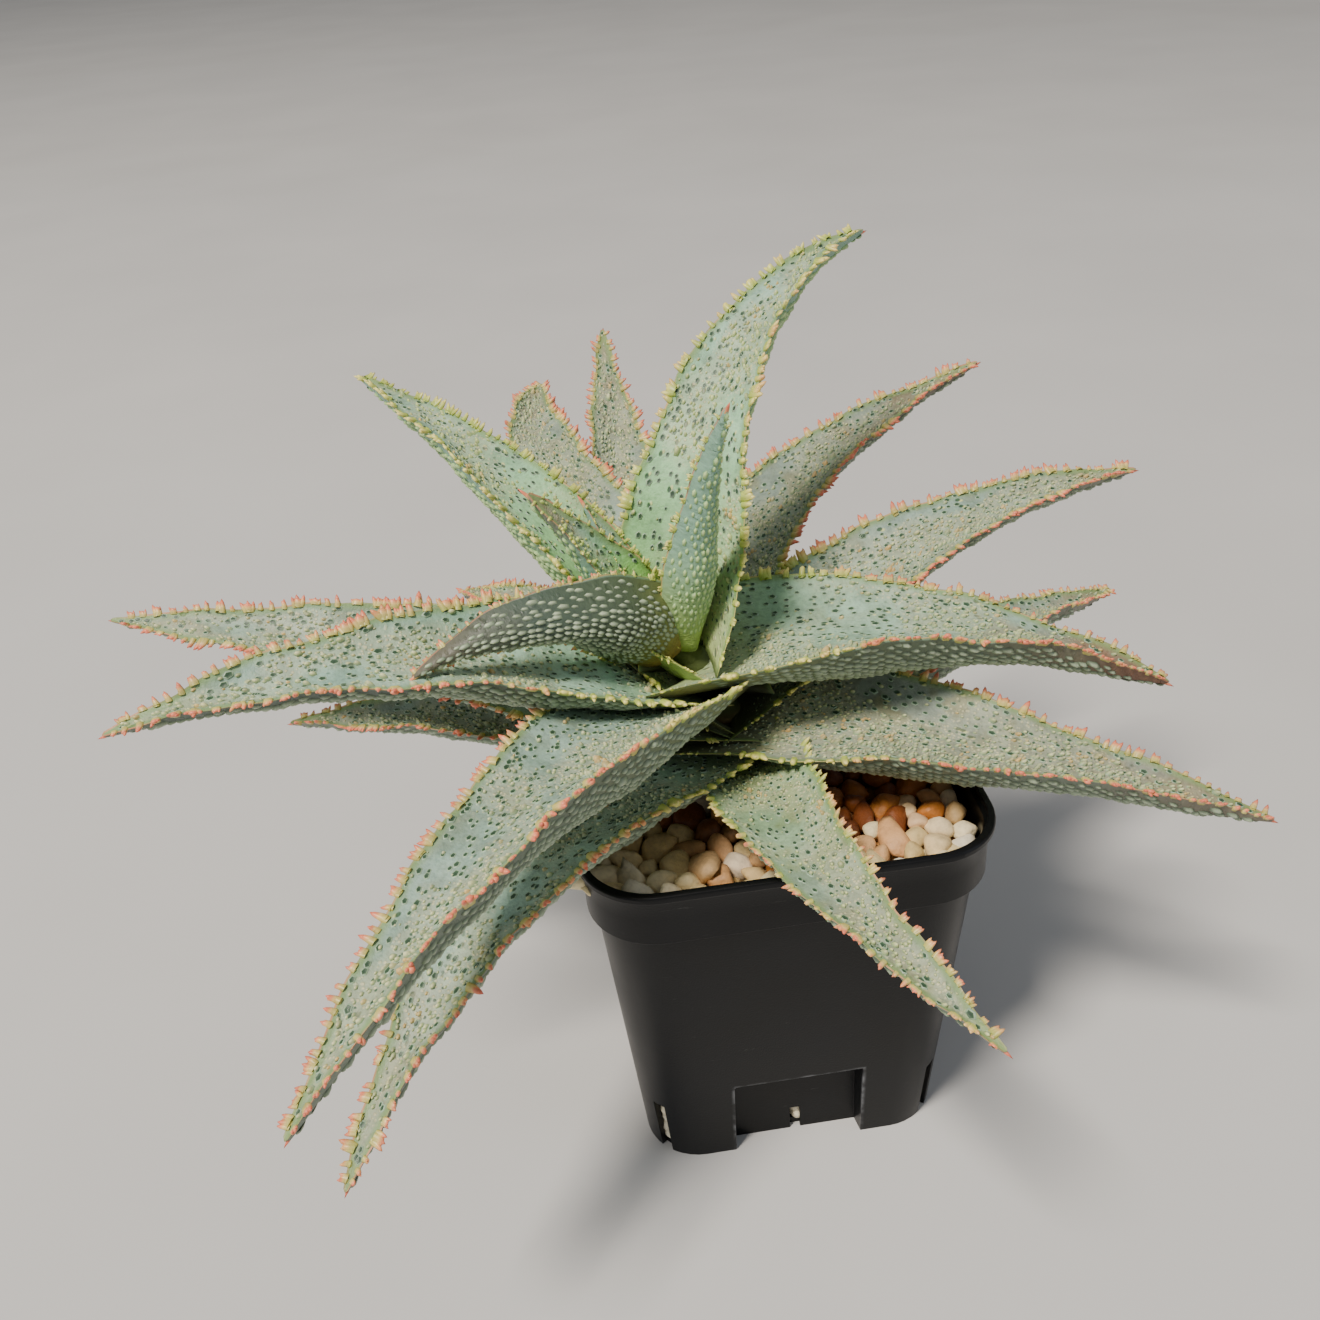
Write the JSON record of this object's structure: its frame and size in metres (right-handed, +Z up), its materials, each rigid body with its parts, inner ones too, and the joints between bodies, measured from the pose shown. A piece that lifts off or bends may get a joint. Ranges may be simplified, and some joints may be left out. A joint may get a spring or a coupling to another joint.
{
  "type": "potted lavender star aloe",
  "caption": "Spiky rosette succulent with toothed, warty grey-green leaves on a short stem, rooted in pebbles in a square tapered nursery pot.",
  "frame": {"origin": "centre of the flat base of the pot, where it stands", "axes": "+Z up, -Y towards the front of the pot, +X to its right; the walls of the pot are parallel to X and Y"},
  "size_m": [0.2482, 0.2106, 0.1926],
  "materials": {
    "pot": "satin black polypropylene with fine pale scuffs",
    "gravel": "dull rounded pebbles, cream to tan, some damp and orange",
    "stem": "dull brown bark-like stem",
    "leaf": "waxy blue-grey green with pale warts, dark flecks and coral margin teeth"
  },
  "bodies": {
    "root": {"pot": "pot", "gravel": "gravel", "stem": "stem", "leaf_01": "leaf", "leaf_02": "leaf", "leaf_03": "leaf", "leaf_04": "leaf", "leaf_05": "leaf", "leaf_06": "leaf", "leaf_07": "leaf", "leaf_08": "leaf", "leaf_09": "leaf", "leaf_10": "leaf", "leaf_11": "leaf", "leaf_12": "leaf", "leaf_13": "leaf", "leaf_14": "leaf", "leaf_15": "leaf", "leaf_16": "leaf", "leaf_17": "leaf", "leaf_18": "leaf", "leaf_19": "leaf", "leaf_20": "leaf", "leaf_21": "leaf", "leaf_22": "leaf", "leaf_23": "leaf", "leaf_24": "leaf"}
  },
  "joints": []
}
